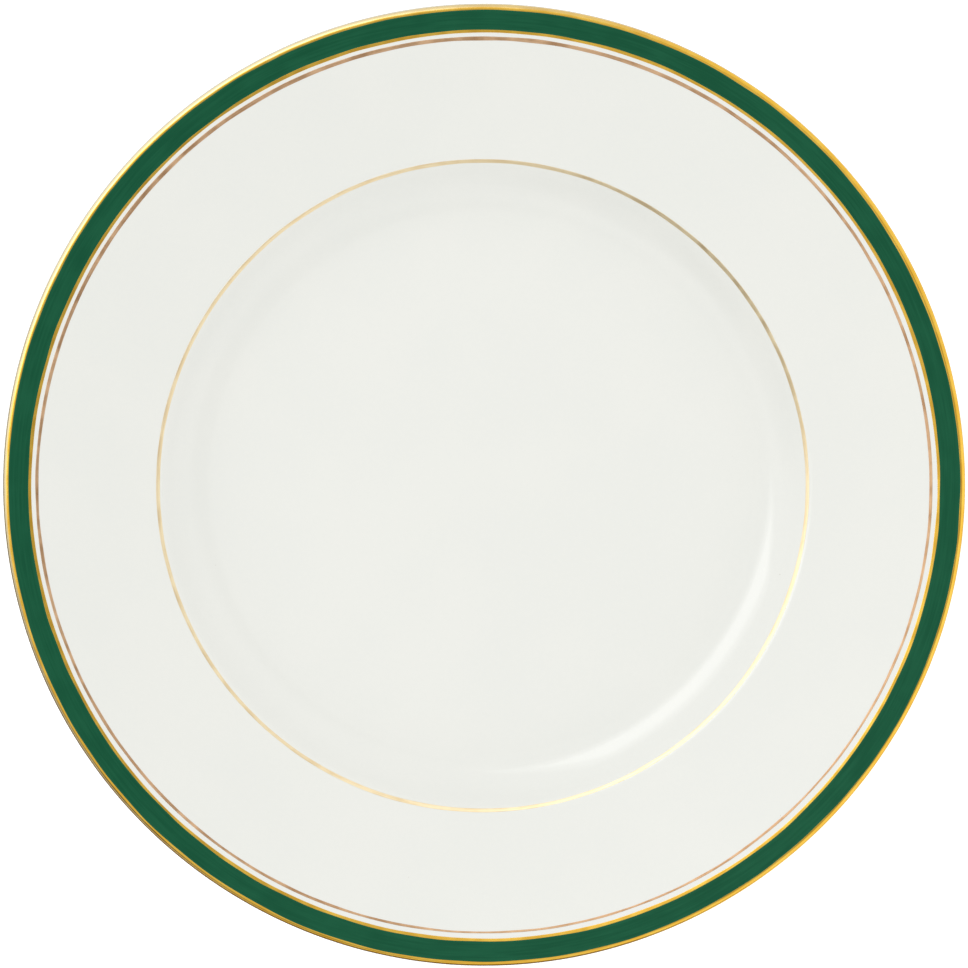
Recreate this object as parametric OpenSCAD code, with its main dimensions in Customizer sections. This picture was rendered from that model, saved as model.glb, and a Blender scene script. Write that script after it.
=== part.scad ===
// China dinner plate: a turned porcelain body with its foot ring, the glaze fired on it,
// and the green and gold bands laid on the glaze.
// Millimetres. The origin is the centre of the foot's resting plane, and +Z is up.

/* [Plate] */
// Diameter across the gilded lip
plate_d = 270; // [255:1:285]
// Height of the lip's upper corner, before it is rounded
plate_h = 20.5; // [20:0.5:22]
// Thickness of the rim at the lip
lip_t = 2.4; // [2.3:0.1:3]
// Thickness of the rim beside the verge
rim_t = 3.4; // [3:0.1:4]

/* [Well] */
// Diameter of the verge, where the well's wall turns into the rim
verge_d = 182.6; // [174:0.2:190]
// Height of the well's floor above the table
floor_h = 7; // [6:0.25:8]
// Depth of the well below the verge
well_depth = 7; // [6.5:0.25:7.5]
// Slope of the well's wall, in degrees
wall_slope = 40; // [36:1:43]
// Thickness of the well's wall, square to its slope
wall_t = 4; // [3.6:0.1:4.4]
// Slope of the rim beside the verge, in degrees
rim_slope = 7; // [5:0.5:8]

/* [Foot] */
// Outer diameter of the foot ring at its root
foot_d = 168; // [160:1:170]
// Width of the foot ring at its root
foot_w = 4; // [3.5:0.25:5]
// Height of the recess inside the foot ring
recess_h = 2.8; // [2:0.2:3.4]

/* [Coats] */
// Thickness of the glaze
glaze_t = 0.2; // [0.15:0.05:0.3]
// Thickness of the green enamel
enamel_t = 0.1; // [0.06:0.02:0.16]
// Thickness of the gilding
gold_t = 0.08; // [0.06:0.02:0.12]
// Height above the table at which the glaze stops on the foot ring
dry_foot_h = 0.8; // [0.6:0.1:1.2]

/* [Bands] */
// Width of the gold band on the lip, seen from above
edge_gold_w = 1.6; // [1.2:0.1:2.4]
// Width of the green band
green_w = 5.6; // [4:0.1:7]
// Width of the gold line along the green band's inner edge
band_gold_w = 0.8; // [0.5:0.05:1.4]
// Bare glaze between that gold line and the hairline
hairline_gap = 1.2; // [0.7:0.1:2]
// Width of the hairline
hairline_w = 0.85; // [0.4:0.05:1.2]
// Width of the gold line on the verge
verge_gold_w = 1; // [0.6:0.05:1.6]

/* [Hidden] */
$fn = 180;

// Radii that round the profile's corners
floor_bend = 20;
verge_bend = 5;
lip_face_bend = 1.4;
lip_back_bend = 0.6;
shoulder_bend = 9;
foot_root_bend = 1.5;
foot_bend = 0.8;
recess_bend = 2;

// Share of each half of the rim that its slow upward bow takes up, on the face and on the back
face_bow_share = 0.9;
back_bow_share = 0.6;
// How far the foot's two sides draw in from root to table
foot_draft = 0.5;
// Height of the foot ring's root on its outer side
foot_root_h = 3.2;

// Heights and radii that follow from the driving sizes
lip_r = plate_d / 2 - gold_t;
verge_r = verge_d / 2;
verge_h = floor_h + well_depth;
well_r = verge_r - well_depth / tan(wall_slope);
foot_out_r = foot_d / 2;
foot_in_r = foot_out_r - foot_w;
foot_mid_r = foot_out_r - foot_w / 2;

// The rim rises in two slopes, which a bow halfway along it blends into one
bow_run = (lip_r - verge_r) / 2;
bow_r = verge_r + bow_run;
bow_h = verge_h + bow_run * tan(rim_slope);
lip_slope = atan((plate_h - bow_h) / bow_run);
face_bow = face_bow_share * bow_run / tan((lip_slope - rim_slope) / 2);
back_bow_h = bow_h - (rim_t + lip_t) / 2;
back_rim_slope = atan((back_bow_h - verge_h + rim_t) / bow_run);
back_lip_slope = atan((plate_h - lip_t - back_bow_h) / bow_run);
back_bow = back_bow_share * bow_run / tan((back_lip_slope - back_rim_slope) / 2);

// The shoulder is where the rim's back meets the back of the well's wall
shoulder_run = (wall_t / cos(wall_slope) - rim_t) / (tan(wall_slope) - tan(back_rim_slope));
shoulder_r = verge_r + shoulder_run;
shoulder_h = verge_h - rim_t + shoulder_run * tan(back_rim_slope);

// The gilding stops halfway down the short upright between the lip's two bends
lip_flat_top = plate_h - lip_face_bend * tan(45 + lip_slope / 2);
lip_flat_base = plate_h - lip_t + lip_back_bend * tan(45 - back_lip_slope / 2);

// Radii of the bands, each measured in from the one outside it
green_out_r = plate_d / 2 - edge_gold_w;
green_in_r = green_out_r - green_w;
band_gold_in_r = green_in_r - band_gold_w;
hairline_out_r = band_gold_in_r - hairline_gap;

// The finished profile as sharp corners: [radius, height, bend that rounds it, pieces in the bend].
// It runs from the axis over the face, round the lip, along the back and foot to the axis again.
FACE = [
    [0, floor_h, 0, 0],
    [well_r, floor_h, floor_bend, 10],
    [verge_r, verge_h, verge_bend, 8],
    [bow_r, bow_h, face_bow, 10],
    [lip_r, plate_h, lip_face_bend, 8]
];
LIP_EDGE = [lip_r, (lip_flat_top + lip_flat_base) / 2, 0, 0];
BACK = [
    [lip_r, plate_h - lip_t, lip_back_bend, 6],
    [bow_r, back_bow_h, back_bow, 6],
    [shoulder_r, shoulder_h, shoulder_bend, 8],
    [foot_out_r, foot_root_h, foot_root_bend, 5],
    [foot_out_r - foot_draft, -glaze_t, foot_bend, 6],
    [foot_in_r + foot_draft, -glaze_t, foot_bend, 6],
    [foot_in_r, recess_h, recess_bend, 5],
    [0, recess_h, 0, 0]
];

// Direction of travel from one corner to the next, and the turn between two directions
function heading(a, b) = atan2(b[1] - a[1], b[0] - a[0]);
function turn(from, to) = (to - from + 540) % 360 - 180;
function along(angle) = [cos(angle), sin(angle)];
function place(corner) = [corner[0], corner[1]];
function reversed(list) = [for (i = [len(list) - 1 : -1 : 0]) list[i]];

// The arc that rounds corner b, moved in by depth. Outward corners turn clockwise.
function bend(a, b, c, depth) =
    let (
        way_in = heading(a, b),
        swing = turn(way_in, heading(b, c)),
        start = place(b) - b[2] * tan(abs(swing) / 2) * along(way_in),
        signed = -sign(swing) * b[2],
        centre = start - signed * along(way_in + 90)
    )
    [for (i = [0 : b[3]]) centre + (signed - depth) * along(way_in + 90 + swing * i / b[3])];

// The whole profile moved in by depth, with its ends moved square to their own sides
function outline(corners, depth) =
    let (
        last = len(corners) - 1,
        first_side = heading(corners[0], corners[1]),
        last_side = heading(corners[last - 1], corners[last])
    )
    concat(
        [place(corners[0]) - depth * along(first_side + 90)],
        [for (i = [1 : last - 1]) each bend(corners[i - 1], corners[i], corners[i + 1], depth)],
        [place(corners[last]) - depth * along(last_side + 90)]
    );

// The outline of what lies between two depths
function coat(corners, outer, inner) =
    concat(outline(corners, outer), reversed(outline(corners, inner)));

// A band laid on the face or lip, between two radii
module band(inner_r, outer_r, thickness) {
    rotate_extrude()
        intersection() {
            polygon(coat(concat(FACE, [LIP_EDGE]), -thickness, 0));
            translate([inner_r, 0]) square([outer_r - inner_r, plate_h + 1]);
        }
}

// Everything inside the foot ring and below the middle of the floor
module base_zone() {
    square([foot_mid_r, (floor_h + recess_h) / 2]);
}

module porcelain_body() {
    color("seashell")
        rotate_extrude() polygon(outline(concat(FACE, BACK), glaze_t));
}

module glaze_coat() {
    color("whitesmoke")
        rotate_extrude()
            difference() {
                polygon(coat(concat(FACE, BACK), 0, glaze_t));
                base_zone();
                translate([0, -1]) square([foot_d, dry_foot_h + 1]);
            }
}

module base_glaze() {
    color("ghostwhite")
        rotate_extrude()
            intersection() {
                polygon(coat(concat(FACE, BACK), 0, glaze_t));
                translate([0, dry_foot_h]) base_zone();
            }
}

module green_band() {
    color("darkgreen") band(green_in_r, green_out_r, enamel_t);
}

module edge_gold_band() {
    color("gold") band(green_out_r, plate_d, gold_t);
}

module band_gold_line() {
    color("goldenrod") band(band_gold_in_r, green_in_r, gold_t);
}

module rim_hairline() {
    color("peru") band(hairline_out_r - hairline_w, hairline_out_r, gold_t);
}

module verge_gold_line() {
    color("khaki") band(verge_r - verge_gold_w / 2, verge_r + verge_gold_w / 2, gold_t);
}

porcelain_body();
glaze_coat();
base_glaze();
green_band();
edge_gold_band();
band_gold_line();
rim_hairline();
verge_gold_line();
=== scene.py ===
"""Looks of a china dinner plate: its fired body, its glaze, and the enamel and gilding on the rim.

Every piece is turned from one finished profile, whose main sizes are read from the CAD frame.
Metres, +Z up, with the origin at the centre of the foot's resting plane. Only the finishes'
patterns are laid out in millimetres.
"""

import logging
import math
from collections.abc import Callable
from dataclasses import dataclass, field
from enum import Enum

import bpy
import numpy as np
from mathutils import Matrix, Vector


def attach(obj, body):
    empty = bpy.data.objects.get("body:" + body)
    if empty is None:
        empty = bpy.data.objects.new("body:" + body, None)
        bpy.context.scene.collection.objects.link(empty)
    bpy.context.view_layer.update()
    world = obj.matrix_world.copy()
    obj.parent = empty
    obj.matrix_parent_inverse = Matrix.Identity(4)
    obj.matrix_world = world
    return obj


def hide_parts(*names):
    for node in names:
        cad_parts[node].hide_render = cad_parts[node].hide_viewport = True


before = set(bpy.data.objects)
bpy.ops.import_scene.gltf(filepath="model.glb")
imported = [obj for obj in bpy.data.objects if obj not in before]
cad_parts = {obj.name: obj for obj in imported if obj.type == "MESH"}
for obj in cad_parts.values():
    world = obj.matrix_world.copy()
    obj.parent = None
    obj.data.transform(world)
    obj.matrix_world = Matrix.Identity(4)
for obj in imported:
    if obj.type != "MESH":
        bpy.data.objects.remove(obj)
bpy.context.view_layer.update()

MM = 0.001
AT_AXIS = 1e-6
SAME_PLACE = 1e-7
QUARTER_TURN = math.pi / 2
log = logging.getLogger("plate")

Angles = np.ndarray
EdgeLine = Callable[[Angles], np.ndarray]
Pair = tuple[float, float]
Rgb = tuple[float, float, float, float]
Socket = bpy.types.NodeSocket


class Slot(Enum):
    """The record's material slots."""

    PORCELAIN = "porcelain"
    GLAZE = "glaze"
    GREEN_ENAMEL = "green_enamel"
    GOLD = "gold"
    HAIRLINE_GOLD = "hairline_gold"
    PALE_GOLD = "pale_gold"


class Node(Enum):
    """The CAD nodes that the finished pieces stand for."""

    BODY = "porcelain_body"
    COAT = "glaze_coat"
    BASE_GLAZE = "base_glaze"
    GREEN_BAND = "green_band"
    EDGE_GOLD = "edge_gold_band"
    BAND_GOLD = "band_gold_line"
    HAIRLINE = "rim_hairline"
    VERGE_GOLD = "verge_gold_line"


class Section(Enum):
    """How the section that a piece is turned from closes."""

    RING = "its last point joins its first one"
    ON_AXIS = "both of its ends are drawn in to the plate's axis"


class Area(Enum):
    """The two areas of glaze, which the foot's dry face keeps apart."""

    FACE_AND_BACK = "from the middle of the face, over the lip, to the foot's outer side"
    RECESS = "inside the foot ring"


class Mix(Enum):
    """What a Mix node mixes: its data type, and the places of its two inputs and its output."""

    NUMBERS = ("FLOAT", 2, 3, 0)
    COLOURS = ("RGBA", 6, 7, 2)


# -------------------- measuring the frame


def radii_and_heights(node: Node) -> tuple[np.ndarray, np.ndarray]:
    """The distance from the axis and the height of each of a CAD node's points."""
    points = np.array([vertex.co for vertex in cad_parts[node.value].data.vertices])
    return np.hypot(points[:, 0], points[:, 1]), points[:, 2]


@dataclass(frozen=True)
class Span:
    """The radii and heights that a CAD node reaches between."""

    inner: float
    outer: float
    low: float
    high: float

    @classmethod
    def of(cls, node: Node) -> "Span":
        """Measures a CAD node.

        Args:
            node: The node to measure.

        Returns:
            Its smallest and largest radius, and its lowest and highest point.
        """
        radii, heights = radii_and_heights(node)
        return cls(radii.min(), radii.max(), heights.min(), heights.max())


def heights_at_axis(node: Node) -> Pair:
    """Heights of a CAD node's lower and upper surface on the plate's axis.

    Args:
        node: The node to measure.

    Returns:
        The lower and the upper height.
    """
    radii, heights = radii_and_heights(node)
    middle = heights[radii < radii.min() + AT_AXIS]
    return float(middle.min()), float(middle.max())


# -------------------- the plate's profile


@dataclass(frozen=True)
class Corner:
    """A sharp corner of the profile, the bend that rounds it and the steps in that bend."""

    radius: float
    height: float
    bend: float = 0.0
    steps: int = 0

    @property
    def place(self) -> np.ndarray:
        """The corner as a point."""
        return np.array([self.radius, self.height])


def along(angle: float) -> np.ndarray:
    """The unit vector that points at an angle, in radians."""
    return np.array([math.cos(angle), math.sin(angle)])


def outward(heading: float) -> np.ndarray:
    """The unit vector out of the surface, where the profile travels at this heading."""
    return along(heading + QUARTER_TURN)


@dataclass
class Track:
    """A line of points over the finished surface, each with the way out of it and its distance along."""

    points: np.ndarray
    normals: np.ndarray
    distance: np.ndarray = field(init=False)

    def __post_init__(self) -> None:
        """Works out how far along the track each point lies."""
        steps = np.hypot(*np.diff(self.points, axis=0).T)
        self.distance = np.concatenate([[0.0], np.cumsum(steps)])

    @classmethod
    def round_corners(cls, corners: list[Corner], longest: float) -> "Track":
        """Rounds a chain of corners and fills its straight stretches with points.

        Args:
            corners: The chain, whose first and last corner are its ends.
            longest: The longest step between two points on a straight stretch.

        Returns:
            The track from the first corner to the last.
        """
        headings = [math.atan2(b.height - a.height, b.radius - a.radius)
                    for a, b in zip(corners, corners[1:])]
        points = [corners[0].place]
        normals = [outward(headings[0])]

        def straight_to(end: np.ndarray, normal: np.ndarray) -> None:
            """Adds the points of a straight stretch, its end among them.

            Args:
                end: The stretch's last point.
                normal: The way out of the surface along it.
            """
            start = points[-1]
            count = max(1, math.ceil(np.hypot(*(end - start)) / longest))
            for share in np.linspace(0, 1, count + 1)[1:]:
                points.append(start + share * (end - start))
                normals.append(normal)

        for corner, way_in, way_out in zip(corners[1:-1], headings, headings[1:]):
            swing = (way_out - way_in + math.pi) % math.tau - math.pi
            start = corner.place - corner.bend * math.tan(abs(swing) / 2) * along(way_in)
            signed = -math.copysign(corner.bend, swing)
            centre = start - signed * outward(way_in)
            straight_to(start, outward(way_in))
            for share in np.linspace(0, 1, corner.steps + 1)[1:]:
                normal = outward(way_in + share * swing)
                points.append(centre + signed * normal)
                normals.append(normal)
        straight_to(corners[-1].place, outward(headings[-1]))
        return cls(np.array(points), np.array(normals))

    def at(self, distance: np.ndarray) -> tuple[np.ndarray, np.ndarray]:
        """Points and normals at distances along the track.

        Args:
            distance: The distances, in an array of any shape.

        Returns:
            Two arrays of that shape with radius and height as one more axis.
        """
        def read(values: np.ndarray) -> np.ndarray:
            """Reads both columns of a table at the distances."""
            return np.stack([np.interp(distance, self.distance, column) for column in values.T], -1)

        return read(self.points), read(self.normals)

    def part(self, first: float, last: float) -> "Track":
        """The stretch of the track between two distances, with a point at each end."""
        within = (self.distance > first + SAME_PLACE) & (self.distance < last - SAME_PLACE)
        return Track(*self.at(np.concatenate([[first], self.distance[within], [last]])))

    def distance_at_radius(self, radius: np.ndarray) -> np.ndarray:
        """Distances along the face, where the radius only grows, at which it reaches these radii."""
        widest = int(self.points[:, 0].argmax()) + 1
        return np.interp(radius, self.points[:widest, 0], self.distance[:widest])

    def distance_at_height(self, height: float, first: float, last: float, tries: int = 2001) -> float:
        """The place between two distances along the track that comes nearest to a height.

        Args:
            height: The height to look for.
            first: The distance to look from.
            last: The distance to look to.
            tries: How many evenly spread places to compare.

        Returns:
            The distance along the track.
        """
        places = np.linspace(first, last, tries)
        heights = self.at(places)[0][:, 1]
        return float(places[int(np.abs(heights - height).argmin())])

    @property
    def crest(self) -> float:
        """The distance along the track at its highest point."""
        return float(self.distance[int(self.points[:, 1].argmax())])

    @property
    def lowest(self) -> float:
        """The distance along the track at its lowest point."""
        return float(self.distance[int(self.points[:, 1].argmin())])


@dataclass
class PlateForm:
    """The plate's finished shape: its profile and its small departures from true.

    The warp is a sum of waves round the rim, each given as its count, its height and its phase.
    """

    well_depth: float = 7.0 * MM
    verge_slope: float = math.radians(7)
    wall_slope: float = math.radians(40)
    lip_thickness: float = 2.4 * MM
    rim_thickness: float = 3.4 * MM
    wall_thickness: float = 4.0 * MM
    foot_width: float = 4.0 * MM
    foot_draft: float = 0.5 * MM
    foot_root: float = 3.2 * MM
    floor_bend: float = 20 * MM
    verge_bend: float = 5 * MM
    lip_face_bend: float = 1.4 * MM
    lip_back_bend: float = 0.6 * MM
    shoulder_bend: float = 9 * MM
    root_bend: float = 1.5 * MM
    foot_bend: float = 0.8 * MM
    recess_bend: float = 2 * MM
    face_bow_share: float = 0.9
    back_bow_share: float = 0.6
    longest_step: float = 2.2 * MM
    warp_waves: tuple[tuple[int, float, float], ...] = ((2, 0.10 * MM, 0.7), (3, 0.05 * MM, 2.1))

    def __post_init__(self) -> None:
        """Reads the main sizes from the frame and works out the profile."""
        body, coat = Span.of(Node.BODY), Span.of(Node.COAT)
        verge_line, recess_glaze = Span.of(Node.VERGE_GOLD), Span.of(Node.BASE_GLAZE)
        self.lip_radius = coat.outer
        self.glaze = coat.outer - body.outer
        self.dry_foot = coat.low
        _, self.floor = heights_at_axis(Node.COAT)
        self.recess, _ = heights_at_axis(Node.BASE_GLAZE)
        self.verge_radius = (verge_line.inner + verge_line.outer) / 2
        self.foot_radius = recess_glaze.outer + self.foot_width - self.foot_draft
        self.verge_height = self.floor + self.well_depth
        self.bow_run = (self.lip_radius - self.verge_radius) / 2
        self.bow_height = self.verge_height + self.bow_run * math.tan(self.verge_slope)
        self.lip_height = self._lip_corner(coat.high)
        self.track = Track.round_corners([*self._face(), *self._back()], self.longest_step)

    def _lip_corner(self, top: float, rounds: int = 20) -> float:
        """Finds the height of the lip's sharp upper corner.

        Args:
            top: The highest point of the lip's rounded edge.
            rounds: How often the height is worked out again from the rim's slope that it gives.

        Returns:
            The corner's height.
        """
        corner = top
        for _ in range(rounds):
            slope = math.atan2(corner - self.bow_height, self.bow_run)
            corner = top + self.lip_face_bend * (math.tan(math.pi / 4 + slope / 2) - 1)
        return corner

    def _bow_bend(self, share: float, slope: float, lip_slope: float) -> float:
        """The bend that blends the rim's two slopes over a share of each."""
        return share * self.bow_run / math.tan((lip_slope - slope) / 2)

    def _face(self) -> list[Corner]:
        """The corners from the axis over the face to the lip."""
        well_radius = self.verge_radius - self.well_depth / math.tan(self.wall_slope)
        lip_slope = math.atan2(self.lip_height - self.bow_height, self.bow_run)
        bow_bend = self._bow_bend(self.face_bow_share, self.verge_slope, lip_slope)
        return [
            Corner(0, self.floor),
            Corner(well_radius, self.floor, self.floor_bend, steps=22),
            Corner(self.verge_radius, self.verge_height, self.verge_bend, steps=14),
            Corner(self.verge_radius + self.bow_run, self.bow_height, bow_bend, steps=26),
            Corner(self.lip_radius, self.lip_height, self.lip_face_bend, steps=20),
        ]

    def _back(self) -> list[Corner]:
        """The corners from the lip along the back and the foot to the axis."""
        lip_height = self.lip_height - self.lip_thickness
        bow_height = self.bow_height - (self.rim_thickness + self.lip_thickness) / 2
        verge_height = self.verge_height - self.rim_thickness
        slope = math.atan2(bow_height - verge_height, self.bow_run)
        lip_slope = math.atan2(lip_height - bow_height, self.bow_run)
        bow_bend = self._bow_bend(self.back_bow_share, slope, lip_slope)
        wall_height = self.wall_thickness / math.cos(self.wall_slope)
        shoulder_run = (wall_height - self.rim_thickness) / (math.tan(self.wall_slope) - math.tan(slope))
        shoulder_radius = self.verge_radius + shoulder_run
        shoulder_height = verge_height + shoulder_run * math.tan(slope)
        foot_inner = self.foot_radius - self.foot_width
        return [
            Corner(self.lip_radius, lip_height, self.lip_back_bend, steps=12),
            Corner(self.verge_radius + self.bow_run, bow_height, bow_bend, steps=12),
            Corner(shoulder_radius, shoulder_height, self.shoulder_bend, steps=12),
            Corner(self.foot_radius, self.foot_root, self.root_bend, steps=8),
            Corner(self.foot_radius - self.foot_draft, -self.glaze, self.foot_bend, steps=8),
            Corner(foot_inner + self.foot_draft, -self.glaze, self.foot_bend, steps=8),
            Corner(foot_inner, self.recess, self.recess_bend, steps=8),
            Corner(0, self.recess),
        ]

    def _warp(self, radius: np.ndarray, angle: np.ndarray) -> np.ndarray:
        """How far the firing has lifted the rim at a place: none at the foot, most at the lip.

        Args:
            radius: The place's distance from the axis.
            angle: Its angle round the plate.

        Returns:
            The lift in metres.
        """
        reach = np.clip((radius - self.foot_radius) / (self.lip_radius - self.foot_radius), 0, 1)
        swell = sum(size * np.cos(count * angle + phase) for count, size, phase in self.warp_waves)
        return reach ** 2 * swell

    def stand(self, points: np.ndarray, angles: Angles) -> np.ndarray:
        """Turns profile points into places in space, with the warp on.

        Args:
            points: Radius and height, as an array of angles by points by 2, or of points by 2
                where the section is the same at every angle.
            angles: The angles that the sections stand at.

        Returns:
            An array of angles by points by 3.
        """
        turn = angles[:, None]
        radius, height = np.broadcast_to(points, (len(angles), *points.shape[-2:])).transpose(2, 0, 1)
        height = height + self._warp(radius, turn)
        return np.stack([radius * np.cos(turn), radius * np.sin(turn), height], -1)


# -------------------- meshes


def turn_mesh(name: str, rows: np.ndarray, across: np.ndarray, section: Section) -> bpy.types.Object:
    """Makes a piece from sections that stand round the axis.

    Args:
        name: The piece's name.
        rows: The sections' points, as an array of sections by points by 3.
        across: A number from 0 to 1 for each point of a section, kept as the attribute "across".
        section: How the sections close.

    Returns:
        The new object, shaded smooth.
    """
    turns = len(rows)
    inside = slice(None) if section is Section.RING else slice(1, -1)
    kept = rows[:, inside]
    count = kept.shape[1]
    vertices = [tuple(point) for point in kept.reshape(-1, 3)]
    shares = list(np.tile(across[inside], turns))
    starts = [(turn * count, (turn + 1) % turns * count) for turn in range(turns)]
    sides = [(j, (j + 1) % count) for j in range(count if section is Section.RING else count - 1)]
    faces: list[tuple[int, ...]] = [(a + j, a + k, b + k, b + j) for a, b in starts for j, k in sides]
    if section is Section.ON_AXIS:
        for end, j in ((0, 0), (-1, count - 1)):
            pole = len(vertices)
            vertices.append(tuple(rows[:, end].mean(axis=0)))
            shares.append(float(across[end]))
            faces += [(pole, a + j, b + j) if end == 0 else (pole, b + j, a + j) for a, b in starts]
    mesh = bpy.data.meshes.new(name)
    mesh.from_pydata(vertices, [], faces)
    mesh.attributes.new("across", "FLOAT", "POINT").data.foreach_set("value", shares)
    mesh.polygons.foreach_set("use_smooth", [True] * len(faces))
    mesh.update()
    piece = bpy.data.objects.new(name, mesh)
    bpy.context.scene.collection.objects.link(piece)
    return piece


def even_angles(count: int) -> Angles:
    """Angles that go once round, evenly."""
    return np.linspace(0, math.tau, count, endpoint=False)


def wander(angles: Angles, seed: int, waves: tuple[int, int], size: float) -> np.ndarray:
    """A line's unsteadiness round the plate, as a hand-held brush leaves it.

    Args:
        angles: The angles to work it out at.
        seed: Picks one of many such lines.
        waves: The fewest and the most waves round the plate.
        size: Its usual size in metres.

    Returns:
        One distance for each angle.
    """
    draw = np.random.default_rng(seed)
    fewest, most = waves
    total = np.zeros_like(angles)
    for wave in range(fewest, most + 1):
        total += draw.normal() / math.sqrt(wave) * np.cos(wave * angles + draw.uniform(0, math.tau))
    return size * total / total.std()


# -------------------- finishes


@dataclass
class Graph:
    """A material's or world's node tree, with short ways to add to it."""

    tree: bpy.types.NodeTree

    def add(self, kind: str, **settings: object) -> bpy.types.Node:
        """Adds a node.

        Args:
            kind: Its type's name.
            settings: The properties to set on it.

        Returns:
            The node.
        """
        node = self.tree.nodes.new(kind)
        for key, value in settings.items():
            setattr(node, key, value)
        return node

    def feed(self, socket: Socket, value: object) -> None:
        """Links a socket to an output, or sets its value.

        Args:
            socket: The input to feed.
            value: An output, or the value to set.
        """
        if isinstance(value, Socket):
            self.tree.links.new(value, socket)
        else:
            socket.default_value = value

    def feed_all(self, node: bpy.types.Node, inputs: dict[str, object]) -> None:
        """Feeds a node's inputs, given by their names."""
        for name, value in inputs.items():
            self.feed(node.inputs[name], value)

    def calc(self, operation: str, *values: object, clamp: bool = False) -> Socket:
        """Adds a Math node.

        Args:
            operation: What it works out.
            values: Its inputs.
            clamp: Whether its result is kept from 0 to 1.

        Returns:
            Its result.
        """
        node = self.add("ShaderNodeMath", operation=operation, use_clamp=clamp)
        for socket, value in zip(node.inputs, values):
            self.feed(socket, value)
        return node.outputs[0]

    def weighted(self, *terms: tuple[object, float], clamp: bool = False) -> Socket:
        """Adds up two or more values, each of which counts with a weight.

        Args:
            terms: The values, each with its weight.
            clamp: Whether the sum is kept from 0 to 1.

        Returns:
            The sum.
        """
        total, *others = [self.calc("MULTIPLY", value, weight) for value, weight in terms]
        for other in others:
            total = self.calc("ADD", total, other, clamp=clamp)
        return total

    def vector_calc(self, operation: str, *values: object) -> bpy.types.Node:
        """Adds a Vector Math node.

        Args:
            operation: What it works out.
            values: Its inputs.

        Returns:
            The node.
        """
        node = self.add("ShaderNodeVectorMath", operation=operation)
        for socket, value in zip(node.inputs, values):
            self.feed(socket, value)
        return node

    def split(self, vector: Socket) -> list[Socket]:
        """Takes a vector apart.

        Args:
            vector: The vector.

        Returns:
            Its parts along X, Y and Z.
        """
        node = self.add("ShaderNodeSeparateXYZ")
        self.feed(node.inputs[0], vector)
        return list(node.outputs)

    def join(self, *parts: Socket) -> Socket:
        """Makes a vector from its parts.

        Args:
            parts: The parts along X, Y and Z. Those left out are zero.

        Returns:
            The vector.
        """
        node = self.add("ShaderNodeCombineXYZ")
        for socket, part in zip(node.inputs, parts):
            self.feed(socket, part)
        return node.outputs[0]

    def noise(self, vector: Socket, scale: float, detail: float) -> Socket:
        """Adds a Noise texture.

        Args:
            vector: The place to read it at.
            scale: How fine it is.
            detail: How much finer detail it has on top.

        Returns:
            Its value, mostly near 0.5.
        """
        node = self.add("ShaderNodeTexNoise", noise_dimensions="3D")
        self.feed_all(node, {"Vector": vector, "Scale": scale, "Detail": detail})
        return node.outputs["Fac"]

    def mapped(self, value: Socket, source: Pair, target: Pair = (0.0, 1.0)) -> Socket:
        """Maps one range of a value smoothly onto another.

        Args:
            value: The value to map.
            source: The two ends of its range.
            target: What they become.

        Returns:
            The mapped value.
        """
        node = self.add("ShaderNodeMapRange", interpolation_type="SMOOTHSTEP")
        limits = dict(zip(("From Min", "From Max", "To Min", "To Max"), (*source, *target)))
        self.feed_all(node, {"Value": value, **limits})
        return node.outputs["Result"]

    def blend(self, share: Socket, first: object, second: object, kind: Mix = Mix.COLOURS) -> Socket:
        """Mixes two colours or two numbers.

        Args:
            share: How much of the second there is, from 0 to 1.
            first: The colour or number at a share of 0.
            second: The colour or number at a share of 1.
            kind: Which of the two is mixed.

        Returns:
            The mixture.
        """
        data_type, first_place, second_place, result_place = kind.value
        node = self.add("ShaderNodeMix", data_type=data_type)
        for place, value in ((0, share), (first_place, first), (second_place, second)):
            self.feed(node.inputs[place], value)
        return node.outputs[result_place]

    def place(self) -> Socket:
        """The place on the piece in millimetres."""
        node = self.vector_calc("SCALE", self.add("ShaderNodeTexCoord").outputs["Object"])
        self.feed(node.inputs["Scale"], 1 / MM)
        return node.outputs[0]

    def wheel_place(self, outward_scale: float, round_scale: float) -> Socket:
        """A place stretched round the plate, so that a texture read there runs in rings.

        Args:
            outward_scale: How many texture units a millimetre of radius or height takes.
            round_scale: How many texture units the plate's turn is across.

        Returns:
            The vector to read a texture at.
        """
        x, y, z = self.split(self.place())
        flat = self.join(x, y)
        unit_x, unit_y, _ = self.split(self.vector_calc("NORMALIZE", flat).outputs[0])
        depth = self.calc("ADD", self.vector_calc("LENGTH", flat).outputs["Value"], z)
        scaled = ((depth, outward_scale), (unit_x, round_scale), (unit_y, round_scale))
        return self.join(*[self.calc("MULTIPLY", value, scale) for value, scale in scaled])

    def radius(self) -> Socket:
        """The distance from the plate's axis in millimetres."""
        x, y, _ = self.split(self.place())
        return self.vector_calc("LENGTH", self.join(x, y)).outputs["Value"]

    def towards(self, angle: float) -> Socket:
        """How far a place lies out from the plate's axis in one direction, in millimetres."""
        way = (math.cos(angle), math.sin(angle), 0.0)
        return self.vector_calc("DOT_PRODUCT", self.place(), way).outputs["Value"]

    def across(self) -> Socket:
        """How far across its band a place lies, from 0 to 1."""
        return self.add("ShaderNodeAttribute", attribute_name="across").outputs["Fac"]

    def bump(self, height: Socket, depth: float) -> Socket:
        """Adds a Bump node.

        Args:
            height: The surface's height, from 0 to 1.
            depth: How far that range reaches, in metres.

        Returns:
            The bumped normal.
        """
        node = self.add("ShaderNodeBump")
        self.feed_all(node, {"Strength": 1.0, "Distance": depth, "Height": height})
        return node.outputs["Normal"]


def colour(red: float, green: float, blue: float) -> Rgb:
    """A linear colour with full alpha."""
    return (red, green, blue, 1.0)


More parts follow.
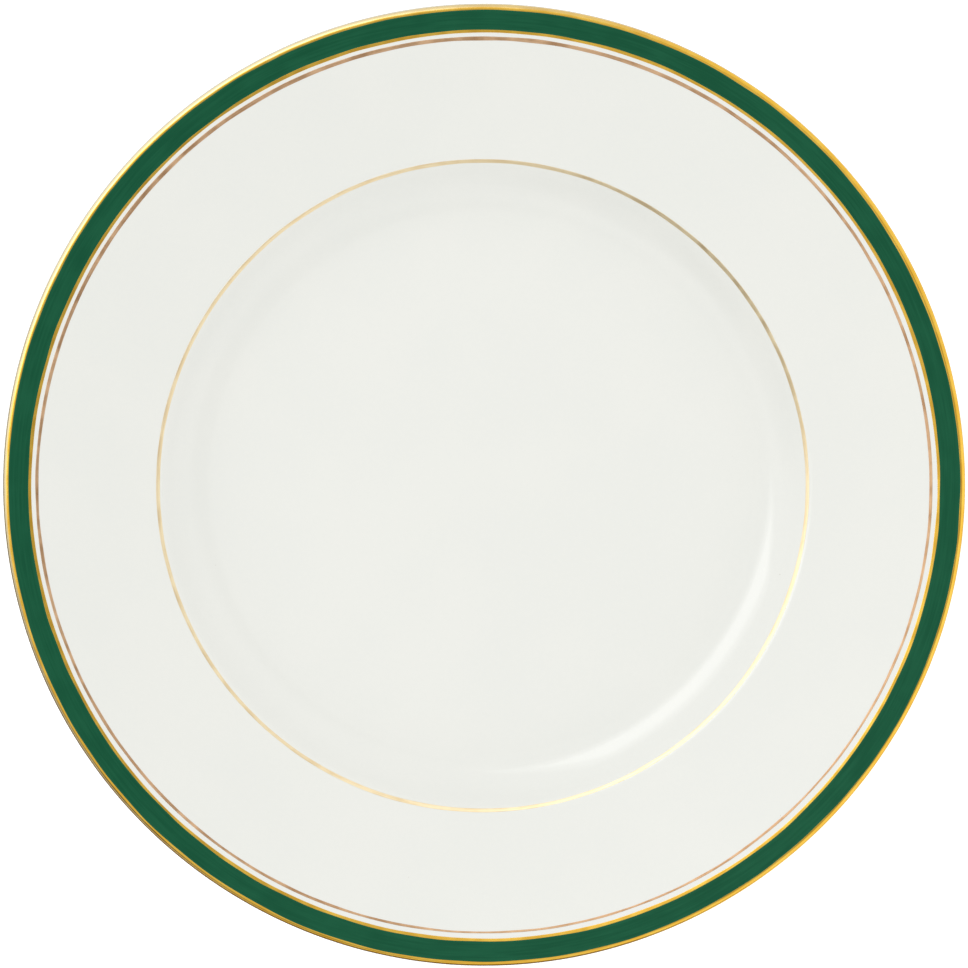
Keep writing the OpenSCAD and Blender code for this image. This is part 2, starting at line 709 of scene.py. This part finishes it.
@dataclass(frozen=True)
class Clouds:
    """A cloudy pattern: its texture units to the millimetre, and how much fine detail it has."""

    scale: float
    detail: float

    def value(self, graph: Graph) -> Socket:
        """Adds the pattern and returns its value."""
        return graph.noise(graph.place(), self.scale, self.detail)


@dataclass(frozen=True)
class Streaks:
    """A pattern that runs round the plate, with its two scales and how much fine detail it has."""

    outward_scale: float
    round_scale: float
    detail: float

    def value(self, graph: Graph) -> Socket:
        """Adds the pattern and returns its value."""
        return graph.noise(graph.wheel_place(self.outward_scale, self.round_scale), 1.0, self.detail)


NOISE_SPAN: Pair = (0.3, 0.7)


@dataclass(frozen=True)
class Finish:
    """What all the plate's finishes share."""

    name: str

    def material(self) -> bpy.types.Material:
        """Makes the finish's material."""
        made = bpy.data.materials.new(self.name)
        made.use_nodes = True
        self.dress(Graph(made.node_tree), made.node_tree.nodes["Principled BSDF"])
        return made

    def dress(self, graph: Graph, shader: bpy.types.Node) -> None:
        """Sets the shader's sockets. Each finish has its own.

        Args:
            graph: The material's node tree.
            shader: Its main shader.
        """
        raise NotImplementedError


@dataclass(frozen=True)
class GlazeFinish(Finish):
    """Clear glossy glaze over white china, in two shades that cloud into each other.

    Towards the lip's outer edge, between two radii in millimetres, it darkens to a greyish beige:
    painted shade on the bare rounded lip. Its pits are rare specks that fade out between the first
    and the second of their radii and lie only in some patches.
    """

    name: str = "clear_glaze"
    thin: Rgb = colour(0.797, 0.802, 0.757)
    thick: Rgb = colour(0.781, 0.790, 0.748)
    cloud: Clouds = Clouds(0.035, 3)
    cloud_weight: float = 0.6
    grain: Clouds = Clouds(0.9, 4)
    grain_weight: float = 0.35
    mottle_span: Pair = (0.35, 0.65)
    # Painted shade on the bare lip's outer rounding, a greyish beige.
    lip: Rgb = colour(0.58, 0.52, 0.38)
    lip_shade_radii: Pair = (133.7, 134.7)
    lip_shade_share: float = 0.85
    speck: Rgb = colour(0.60, 0.57, 0.50)
    pit_scale: float = 0.11
    pit_radii: Pair = (0.010, 0.022)
    pit_patches: Clouds = Clouds(0.05, 0)
    pit_rarity: float = 0.56
    gloss: Clouds = Clouds(0.12, 5)
    roughness: Pair = (0.055, 0.10)
    swell: Clouds = Clouds(0.22, 1)
    swell_weight: float = 0.8
    ripple: Clouds = Clouds(1.6, 2)
    ripple_weight: float = 0.06
    ripple_depth: float = 0.004 * MM
    ior: float = 1.52

    def _pits(self, graph: Graph) -> Socket:
        """Scatters the rare specks.

        Args:
            graph: The material's node tree.

        Returns:
            How much of a place a speck takes up, from 0 to 1.
        """
        cells = graph.add("ShaderNodeTexVoronoi", feature="F1")
        graph.feed_all(cells, {"Vector": graph.place(), "Scale": self.pit_scale})
        near = graph.mapped(cells.outputs["Distance"], self.pit_radii, (1.0, 0.0))
        rare = graph.calc("GREATER_THAN", self.pit_patches.value(graph), self.pit_rarity)
        return graph.calc("MULTIPLY", near, rare)

    def dress(self, graph: Graph, shader: bpy.types.Node) -> None:
        """Mottles the colour, paints shade on the lip's outer edge, scatters a few specks and ripples the
        gloss.

        Args:
            graph: The material's node tree.
            shader: Its main shader.
        """
        cloud = graph.mapped(self.cloud.value(graph), self.mottle_span)
        grain = graph.mapped(self.grain.value(graph), self.mottle_span)
        mottle = graph.weighted((cloud, self.cloud_weight), (grain, self.grain_weight), clamp=True)
        # Painted shade: the bare glaze darkens to greyish beige over the lip's outer rounding.
        lip_shade = graph.mapped(graph.radius(), self.lip_shade_radii, (0.0, self.lip_shade_share))
        body = graph.blend(lip_shade, graph.blend(mottle, self.thin, self.thick), self.lip)
        peel = graph.weighted((self.swell.value(graph), self.swell_weight),
                              (self.ripple.value(graph), self.ripple_weight))
        graph.feed_all(shader, {
            "Base Color": graph.blend(self._pits(graph), body, self.speck),
            "Roughness": graph.mapped(self.gloss.value(graph), NOISE_SPAN, self.roughness),
            "Normal": graph.bump(peel, self.ripple_depth),
            "IOR": self.ior,
        })


@dataclass(frozen=True)
class BisqueFinish(Finish):
    """Bare fired porcelain: matt, fine-grained and slightly soiled where it rubs the table."""

    name: str = "bare_porcelain"
    clean: Rgb = colour(0.76, 0.73, 0.66)
    rubbed: Rgb = colour(0.50, 0.46, 0.40)
    rings: Streaks = Streaks(3.0, 6.0, 4)
    ring_span: Pair = (0.42, 0.72)
    rubbed_share: float = 0.7
    grain: Clouds = Clouds(5.0, 5)
    grain_depth: float = 0.04 * MM
    roughness: Pair = (0.7, 0.92)

    def dress(self, graph: Graph, shader: bpy.types.Node) -> None:
        """Grains the surface and greys it in rings.

        Args:
            graph: The material's node tree.
            shader: Its main shader.
        """
        rings = graph.mapped(self.rings.value(graph), self.ring_span, (0.0, self.rubbed_share))
        grain = self.grain.value(graph)
        graph.feed_all(shader, {
            "Base Color": graph.blend(rings, self.clean, self.rubbed),
            "Roughness": graph.mapped(grain, NOISE_SPAN, self.roughness),
            "Normal": graph.bump(grain, self.grain_depth),
        })


@dataclass(frozen=True)
class EnamelFinish(Finish):
    """Dark green overglaze enamel laid with a broad brush on a turning wheel."""

    name: str = "green_enamel"
    deep: Rgb = colour(0.0070, 0.077, 0.0355)
    light: Rgb = colour(0.0105, 0.096, 0.0450)
    streak: Streaks = Streaks(1.7, 9.0, 4)
    streak_weight: float = 0.6
    cloud: Clouds = Clouds(0.09, 2)
    cloud_weight: float = 0.4
    tone_span: Pair = (0.36, 0.64)
    edge: Rgb = colour(0.0135, 0.108, 0.0540)
    edge_span: Pair = (0.40, 0.5)
    edge_share: float = 0.6
    roughness: Pair = (0.10, 0.20)
    grain: Clouds = Clouds(2.5, 3)
    grain_weight: float = 0.3
    grain_depth: float = 0.008 * MM
    ior: float = 1.48
    specular: float = 0.08

    def dress(self, graph: Graph, shader: bpy.types.Node) -> None:
        """Streaks the colour round the rim and thins it at both edges.

        Args:
            graph: The material's node tree.
            shader: Its main shader.
        """
        streak = self.streak.value(graph)
        tone = graph.weighted((streak, self.streak_weight), (self.cloud.value(graph), self.cloud_weight))
        body = graph.blend(graph.mapped(tone, self.tone_span), self.deep, self.light)
        off_middle = graph.calc("ABSOLUTE", graph.calc("SUBTRACT", graph.across(), 0.5))
        thinned = graph.mapped(off_middle, self.edge_span, (0.0, self.edge_share))
        fine = graph.weighted((streak, 1.0), (self.grain.value(graph), self.grain_weight))
        graph.feed_all(shader, {
            "Base Color": graph.blend(thinned, body, self.edge),
            "Roughness": graph.mapped(streak, NOISE_SPAN, self.roughness),
            "Normal": graph.bump(fine, self.grain_depth),
            "IOR": self.ior,
            "Specular IOR Level": self.specular,
        })


@dataclass(frozen=True)
class GildFinish(Finish):
    """Fired gold, burnished round the plate.

    A painted highlight makes the gold paler towards the outer edge of its band, on one side of the plate
    only: there it pales between two distances out from the plate's axis, in millimetres.
    """

    name: str = "burnished_gold"
    bright: Rgb = colour(0.95, 0.60, 0.095)
    deep: Rgb = colour(0.86, 0.49, 0.055)
    roughness: Pair = (0.12, 0.26)
    streak: Streaks = Streaks(6.0, 14.0, 5)
    patch: Clouds = Clouds(0.16, 3)
    tone_span: Pair = (0.38, 0.62)
    streak_depth: float = 0.005 * MM
    # The painted highlight's pale cream colour, how strongly it shows, and where it lies.
    highlight_tone: Rgb = colour(0.80, 0.69, 0.42)
    highlight_share: float = 0.0
    highlight_span: Pair = (0.40, 0.70)
    highlight_patchiness: float = 0.2
    highlight_side: float = math.radians(155)
    highlight_reach: Pair = (-20.0, 100.0)

    def dress(self, graph: Graph, shader: bpy.types.Node) -> None:
        """Streaks the metal round the plate, dulls it in patches and pales it on one side with a painted
        highlight.

        Args:
            graph: The material's node tree.
            shader: Its main shader.
        """
        streak, patch = self.streak.value(graph), self.patch.value(graph)
        tone = graph.mapped(graph.weighted((streak, 0.5), (patch, 0.5)), self.tone_span)
        body = graph.blend(tone, self.deep, self.bright)
        # Painted highlight: pale cream gold towards the band's outer edge, in patches, on one side of the
        # plate only.
        if self.highlight_share:
            rubbed = graph.weighted((graph.across(), 1.0), (patch, self.highlight_patchiness))
            thin = graph.mapped(rubbed, self.highlight_span, (0.0, self.highlight_share))
            side = graph.mapped(graph.towards(self.highlight_side), self.highlight_reach)
            body = graph.blend(graph.calc("MULTIPLY", thin, side), body, self.highlight_tone)
        graph.feed_all(shader, {
            "Base Color": body,
            "Roughness": graph.mapped(patch, NOISE_SPAN, self.roughness),
            "Normal": graph.bump(streak, self.streak_depth),
            "Metallic": 1.0,
        })


LINE_GOLD = GildFinish()
# The lip's gold carries the painted highlight on one side.
LIP_GOLD = GildFinish("burnished_lip_gold", highlight_share=0.9)
PALE_GOLD = GildFinish("pale_gold", bright=colour(0.96, 0.82, 0.55), deep=colour(0.85, 0.67, 0.40),
                       roughness=(0.34, 0.50))
BROWN_GOLD = GildFinish("brown_gold", bright=colour(0.76, 0.50, 0.30), deep=colour(0.55, 0.32, 0.17),
                        roughness=(0.26, 0.46))


# -------------------- pieces


@dataclass
class Piece:
    """A finished piece of the plate that stands for one CAD node."""

    name: str
    node: Node
    slot: Slot
    finish: Finish
    form: PlateForm

    def enrol(self, made: bpy.types.Object) -> bpy.types.Object:
        """Dresses a piece and ties it to the frame.

        Args:
            made: The piece's object, in place.

        Returns:
            The same object.
        """
        made.data.materials.append(self.finish.material())
        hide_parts(self.node.value)
        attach(made, "root")
        log.info("%s: %d faces, for %s", made.name, len(made.data.polygons), self.node.value)
        return made


@dataclass
class FiredBody(Piece):
    """The porcelain under the glaze, bare only on the foot ring."""

    turns: int = 360

    def build(self) -> bpy.types.Object:
        """Makes the body as one closed turned shape."""
        track = self.form.track
        section = track.points - self.form.glaze * track.normals
        rows = self.form.stand(section, even_angles(self.turns))
        return self.enrol(turn_mesh(self.name, rows, np.linspace(0, 1, len(section)), Section.ON_AXIS))


@dataclass
class GlazeShell(Piece):
    """An area of glaze: a thin shell over a stretch of the profile, which ends on the foot."""

    area: Area
    turns: int = 360
    inner_thinning: int = 2
    ring_depth: float = 0.015 * MM
    ring_spacing: float = 3.7 * MM
    overtone_depth: float = 0.5
    overtone_rate: float = 2.3
    overtone_phase: float = 1.0

    def _jigger_rings(self, track: Track) -> np.ndarray:
        """Moves the back's surface in and out in the faint rings that the profile tool leaves.

        Args:
            track: The surface's stretch of the profile.

        Returns:
            Its points, moved.
        """
        facing_down = np.clip(-track.normals[:, 1], 0, 1) ** 2
        phase = math.tau * track.points[:, 0] / self.ring_spacing
        overtone = self.overtone_depth * np.cos(self.overtone_rate * phase + self.overtone_phase)
        depth = facing_down * self.ring_depth * (np.cos(phase) + overtone)
        return track.points + depth[:, None] * track.normals

    def _stretch(self) -> Track:
        """The stretch of the profile that the area covers, which stops at the foot's dry part."""
        form, track = self.form, self.form.track
        foot, width = track.lowest, form.foot_width
        if self.area is Area.RECESS:
            stop = track.distance_at_height(form.dry_foot, foot + width / 2, foot + 1.5 * width)
            return track.part(stop, float(track.distance[-1]))
        return track.part(0.0, track.distance_at_height(form.dry_foot, foot - width, foot))

    def build(self) -> bpy.types.Object:
        """Makes the shell, whose hidden inner surface has fewer points than its outer one."""
        track = self._stretch()
        last = len(track.points) - 1
        kept = np.unique(np.append(np.arange(0, last + 1, self.inner_thinning), last))
        outer = self._jigger_rings(track)
        inner = (track.points - self.form.glaze * track.normals)[kept][::-1]
        section = np.concatenate([inner, outer] if self.area is Area.RECESS else [outer, inner])
        rows = self.form.stand(section, even_angles(self.turns))
        return self.enrol(turn_mesh(self.name, rows, np.linspace(0, 1, len(section)), Section.ON_AXIS))


@dataclass
class Lining(Piece):
    """A band or line laid on the glaze: a flat film with rounded edges that wander a little."""

    inner: EdgeLine
    outer: EdgeLine
    thickness: float
    rounding: float
    middle: int = 6
    turns: int = 720
    edge_steps: int = 5
    sunk: float = 0.02 * MM

    def build(self) -> bpy.types.Object:
        """Makes the film, with its underside in the glaze."""
        angles = even_angles(self.turns)
        start, stop = self.inner(angles)[:, None], self.outer(angles)[:, None]
        turn = np.linspace(0, QUARTER_TURN, self.edge_steps)
        near = self.rounding * (1 - np.cos(turn))
        share = np.linspace(0, 1, self.middle + 2)[1:-1]
        flat = start + self.rounding + (stop - start - 2 * self.rounding) * share
        distance = np.concatenate([start + near, flat, stop - near[::-1]], axis=1)
        height = np.concatenate([np.sin(turn), np.ones(self.middle), np.sin(turn)[::-1]])
        places, normals = self.form.track.at(distance)
        top = places + (self.thickness * height)[None, :, None] * normals
        below = places[:, [-1, 0]] - self.sunk * normals[:, [-1, 0]]
        across = np.concatenate([(distance[0] - start[0]) / (stop[0] - start[0]), [1.0, 0.0]])
        rows = self.form.stand(np.concatenate([top, below], axis=1), angles)
        return self.enrol(turn_mesh(self.name, rows, across, Section.RING))


@dataclass
class Decoration:
    """The bands and lines on the rim, in the order in which the bander lays them.

    A run is how far a band's centre lies from the plate's, along X and Y. The gilding wraps past
    the lip's crest by wrap, more or less by wrap_swing, and furthest in the direction wraps_towards.
    """

    form: PlateForm
    overlap: float = 0.06 * MM
    enamel_thickness: float = 0.1 * MM
    enamel_rounding: float = 0.12 * MM
    gold_share: float = 0.6
    gold_rounding: float = 0.05 * MM
    band_run: Pair = (0.08 * MM, -0.30 * MM)
    hair_inner_run: Pair = (0.02 * MM, -0.35 * MM)
    hair_outer_run: Pair = (-0.06 * MM, -0.12 * MM)
    verge_run: Pair = (-0.37 * MM, -0.33 * MM)
    edge_waves: tuple[int, int] = (3, 60)
    lip_waves: tuple[int, int] = (4, 70)
    lip_wander: float = 0.04 * MM
    wrap: float = 1.60 * MM
    wrap_swing: float = 0.45 * MM
    wraps_towards: float = math.radians(-60)

    def __post_init__(self) -> None:
        """Reads the bands' radii and the gold's thickness from the frame."""
        green = Span.of(Node.GREEN_BAND)
        self.green_in = self.edge(green.inner, self.band_run, seed=11, size=0.06 * MM)
        self.green_out = self.edge(green.outer, self.band_run, seed=12, size=0.06 * MM)
        self.gold_thickness = self.gold_share * (Span.of(Node.EDGE_GOLD).outer - self.form.lip_radius)

    def edge(self, radius: float, run: Pair, seed: int, size: float) -> EdgeLine:
        """An edge near a radius, off centre by its run, with a brush's wander on it.

        Args:
            radius: The edge's radius in metres.
            run: How far its centre lies from the plate's, along X and Y, in metres.
            seed: Picks the wander.
            size: The wander's usual size in metres.

        Returns:
            A function from angles to distances along the profile.
        """
        def line(angles: Angles) -> np.ndarray:
            """Where the edge lies.

            Args:
                angles: The angles to work it out at.

            Returns:
                One distance along the profile for each angle.
            """
            off = run[0] * np.cos(angles) + run[1] * np.sin(angles)
            wanders = wander(angles, seed, self.edge_waves, size)
            return self.form.track.distance_at_radius(radius + off + wanders)

        return line

    def lip_end(self, angles: Angles) -> np.ndarray:
        """Where the gilding ends round the lip.

        Args:
            angles: The angles to work it out at.

        Returns:
            One distance along the profile for each angle.
        """
        wraps = self.wrap + self.wrap_swing * np.cos(angles - self.wraps_towards)
        wanders = wander(angles, seed=13, waves=self.lip_waves, size=self.lip_wander)
        return self.form.track.crest + wraps + wanders

    def green_band(self) -> Lining:
        """The broad green band."""
        return Lining("green_enamel_band", Node.GREEN_BAND, Slot.GREEN_ENAMEL, EnamelFinish(), self.form,
                      self.green_in, self.green_out, self.enamel_thickness, self.enamel_rounding, middle=14)

    def gilded_lip(self) -> Lining:
        """The gilding on the lip, which overlaps the green band's outer edge a little."""
        return Lining("gilded_lip", Node.EDGE_GOLD, Slot.GOLD, LIP_GOLD, self.form,
                      lambda angles: self.green_out(angles) - self.overlap, self.lip_end,
                      self.gold_thickness, self.gold_rounding, middle=22)

    def gilt_line(self) -> Lining:
        """The gold line along the green band's inner edge, which it overlaps a little."""
        inner = Span.of(Node.BAND_GOLD).inner
        return Lining("gilt_line_inside_green", Node.BAND_GOLD, Slot.GOLD, LINE_GOLD, self.form,
                      self.edge(inner, self.band_run, seed=14, size=0.05 * MM),
                      lambda angles: self.green_in(angles) + self.overlap,
                      self.gold_thickness, self.gold_rounding)

    def fine_line(self) -> Lining:
        """The fine brown-gold line, which narrows where its two edges' runs bring them together."""
        hair = Span.of(Node.HAIRLINE)
        return Lining("fine_brown_gold_line", Node.HAIRLINE, Slot.HAIRLINE_GOLD, BROWN_GOLD, self.form,
                      self.edge(hair.inner, self.hair_inner_run, seed=15, size=0.04 * MM),
                      self.edge(hair.outer, self.hair_outer_run, seed=16, size=0.04 * MM),
                      self.gold_thickness, self.gold_rounding)

    def verge_line(self) -> Lining:
        """The pale gold line on the verge."""
        verge = Span.of(Node.VERGE_GOLD)
        return Lining("gilt_line_on_verge", Node.VERGE_GOLD, Slot.PALE_GOLD, PALE_GOLD, self.form,
                      self.edge(verge.inner, self.verge_run, seed=17, size=0.03 * MM),
                      self.edge(verge.outer, self.verge_run, seed=18, size=0.03 * MM),
                      self.gold_thickness, self.gold_rounding)

    def build(self) -> list[bpy.types.Object]:
        """Lays every band and line."""
        layers = (self.green_band, self.gilded_lip, self.gilt_line, self.fine_line, self.verge_line)
        return [layer().build() for layer in layers]


# -------------------- studio


def way_to(azimuth: float, tilt: float) -> Vector:
    """The unit vector towards a place in the room.

    Args:
        azimuth: Its direction round the plate, in degrees from +X.
        tilt: How far it is tilted from straight up, in degrees.

    Returns:
        The vector.
    """
    turn, lean = math.radians(azimuth), math.radians(tilt)
    return Vector((math.cos(turn) * math.sin(lean), math.sin(turn) * math.sin(lean), math.cos(lean)))


@dataclass(frozen=True)
class SoftBox:
    """A soft light panel that faces the plate and is only seen mirrored in its gloss."""

    name: str
    azimuth: float
    tilt: float
    distance: float
    width: float
    height: float
    power: float

    def build(self) -> None:
        """Hangs the panel."""
        light = bpy.data.lights.new(self.name, "AREA")
        light.shape = "RECTANGLE"
        light.size, light.size_y = self.width, self.height
        light.energy = self.power
        lamp = bpy.data.objects.new(self.name, light)
        way = way_to(self.azimuth, self.tilt)
        lamp.location = way * self.distance
        lamp.rotation_euler = (-way).to_track_quat("-Z", "Y").to_euler()
        lamp.visible_diffuse = False
        bpy.context.scene.collection.objects.link(lamp)
        log.info("%s: %.1f W", self.name, self.power)


@dataclass(frozen=True)
class Card:
    """A brighter or darker part of the room that glossy surfaces mirror.

    Its change is full out to core degrees from its middle and fades away by edge degrees.
    """

    azimuth: float
    tilt: float
    core: float
    edge: float
    change: float

    def lobe(self, graph: Graph, direction: Socket) -> Socket:
        """How much the card changes the room's brightness in a direction.

        Args:
            graph: The world's node tree.
            direction: The direction that is looked in.

        Returns:
            The change, to be added to the brightness.
        """
        way = way_to(self.azimuth, self.tilt)
        nearness = graph.vector_calc("DOT_PRODUCT", direction, way).outputs["Value"]
        limits = (math.cos(math.radians(self.edge)), math.cos(math.radians(self.core)))
        return graph.mapped(nearness, limits, (0.0, self.change))


PANELS = (
    SoftBox("key_panel", azimuth=138, tilt=31, distance=1.6, width=0.95, height=0.50, power=1.8),
    SoftBox("key_halo", azimuth=136, tilt=33, distance=1.7, width=1.20, height=0.95, power=2.6),
)

CARDS = (
    Card(azimuth=207, tilt=59, core=14, edge=27, change=-0.39),
    Card(azimuth=240, tilt=59, core=14, edge=27, change=-0.39),
    Card(azimuth=187, tilt=18, core=6, edge=18, change=-0.18),
    Card(azimuth=-22, tilt=16, core=10, edge=30, change=-0.40),
    Card(azimuth=145, tilt=58, core=25, edge=50, change=0.42),
    Card(azimuth=30, tilt=64, core=28, edge=46, change=0.12),
    Card(azimuth=0, tilt=0, core=4, edge=13, change=0.35),
    Card(azimuth=-35, tilt=85, core=30, edge=55, change=0.25),
)


@dataclass
class Studio:
    """The floor, the light and the camera.

    On one side the floor's colour turns dark for glossy rays only, as painted shade for the plate's
    gloss to mirror; it does so between two distances out from the plate's axis, in millimetres.
    """

    form: PlateForm
    floor_size: float = 12.0
    floor_glow: float = 0.5
    floor_tone: Rgb = colour(0.93, 0.93, 0.93)
    floor_roughness: float = 0.9
    floor_specular: float = 0.1
    mirrored_shade_tone: Rgb = colour(0.16, 0.13, 0.10)
    dim_side: float = math.radians(228)
    dim_reach: Pair = (40.0, 110.0)
    dim_share: float = 0.97
    white: Rgb = colour(1.0, 1.0, 1.0)
    dome: float = 1.14
    dome_fall: float = 0.25
    dome_lean: float = 0.075
    mirrored_dome: float = 0.85
    camera_height: float = 2.0
    camera_shift: Pair = (-0.014 * MM, 0.16 * MM)
    sensor: float = 36.0
    frame_share: float = 0.99483

    def build(self) -> None:
        """Sets up everything that isn't the plate."""
        self._floor()
        self._surroundings()
        for panel in PANELS:
            panel.build()
        self._camera()
        view = bpy.context.scene.view_settings
        view.view_transform = "Standard"
        view.look = "None"

    def _floor(self) -> None:
        """Lays the pale floor under the foot."""
        half = self.floor_size / 2
        mesh = bpy.data.meshes.new("floor")
        corners = [(-half, -half, 0), (half, -half, 0), (half, half, 0), (-half, half, 0)]
        mesh.from_pydata(corners, [], [(0, 1, 2, 3)])
        mesh.materials.append(self._floor_material())
        floor = bpy.data.objects.new("floor", mesh)
        bpy.context.scene.collection.objects.link(floor)

    def _floor_material(self) -> bpy.types.Material:
        """Makes the floor's finish, which glows a little and has one side coloured dark for glossy rays
        only, as painted shade.
        """
        made = bpy.data.materials.new("pale_floor")
        made.use_nodes = True
        graph = Graph(made.node_tree)
        shader = made.node_tree.nodes["Principled BSDF"]
        path = graph.add("ShaderNodeLightPath")
        # Painted shade: one side of the floor is coloured dark for glossy rays only.
        dim = graph.mapped(graph.towards(self.dim_side), self.dim_reach, (0.0, self.dim_share))
        dim_in_gloss = graph.calc("MULTIPLY", dim, path.outputs["Is Glossy Ray"])
        graph.feed_all(shader, {
            "Base Color": graph.blend(dim_in_gloss, self.floor_tone, self.mirrored_shade_tone),
            "Roughness": self.floor_roughness,
            "Specular IOR Level": self.floor_specular,
            "Emission Color": self.white,
            "Emission Strength": graph.calc("MULTIPLY", path.outputs["Is Camera Ray"], self.floor_glow),
        })
        return made

    def _surroundings(self) -> None:
        """Lights the scene evenly, and gives gloss a room with brighter and darker sides to mirror."""
        world = bpy.data.worlds.new("studio")
        world.use_nodes = True
        bpy.context.scene.world = world
        graph = Graph(world.node_tree)
        direction = graph.add("ShaderNodeTexCoord").outputs["Generated"]
        mirrored: object = self.mirrored_dome
        for card in CARDS:
            mirrored = graph.calc("ADD", mirrored, card.lobe(graph, direction))
        x, y, z = graph.split(direction)
        lowness = graph.calc("SUBTRACT", 0.5, z)
        leftness = graph.calc("SUBTRACT", y, x)
        shaded = graph.weighted((lowness, self.dome_fall), (leftness, self.dome_lean))
        even = graph.calc("ADD", shaded, self.dome)
        is_glossy = graph.add("ShaderNodeLightPath").outputs["Is Glossy Ray"]
        strength = graph.blend(is_glossy, even, mirrored, Mix.NUMBERS)
        graph.feed_all(world.node_tree.nodes["Background"], {"Color": self.white, "Strength": strength})

    def _camera(self) -> None:
        """Looks straight down on the plate, which fills the picture but for a thin margin."""
        data = bpy.data.cameras.new("camera")
        data.sensor_width = self.sensor
        width = 2 * self.form.lip_radius / self.frame_share
        data.lens = self.sensor * (self.camera_height - self.form.lip_height) / width
        camera = bpy.data.objects.new("camera", data)
        camera.location = (*self.camera_shift, self.camera_height)
        bpy.context.scene.collection.objects.link(camera)
        bpy.context.scene.camera = camera


def main() -> None:
    """Builds the plate from the inside out in the studio."""
    logging.basicConfig(level=logging.INFO, format="%(name)s: %(message)s")
    form = PlateForm()
    Studio(form).build()
    FiredBody("fired_body", Node.BODY, Slot.PORCELAIN, BisqueFinish(), form).build()
    GlazeShell("glaze_over_face_and_back", Node.COAT, Slot.GLAZE, GlazeFinish(), form,
               Area.FACE_AND_BACK).build()
    GlazeShell("glaze_in_foot_recess", Node.BASE_GLAZE, Slot.GLAZE, GlazeFinish(), form,
               Area.RECESS).build()
    Decoration(form).build()


if __name__ == "__main__":
    main()
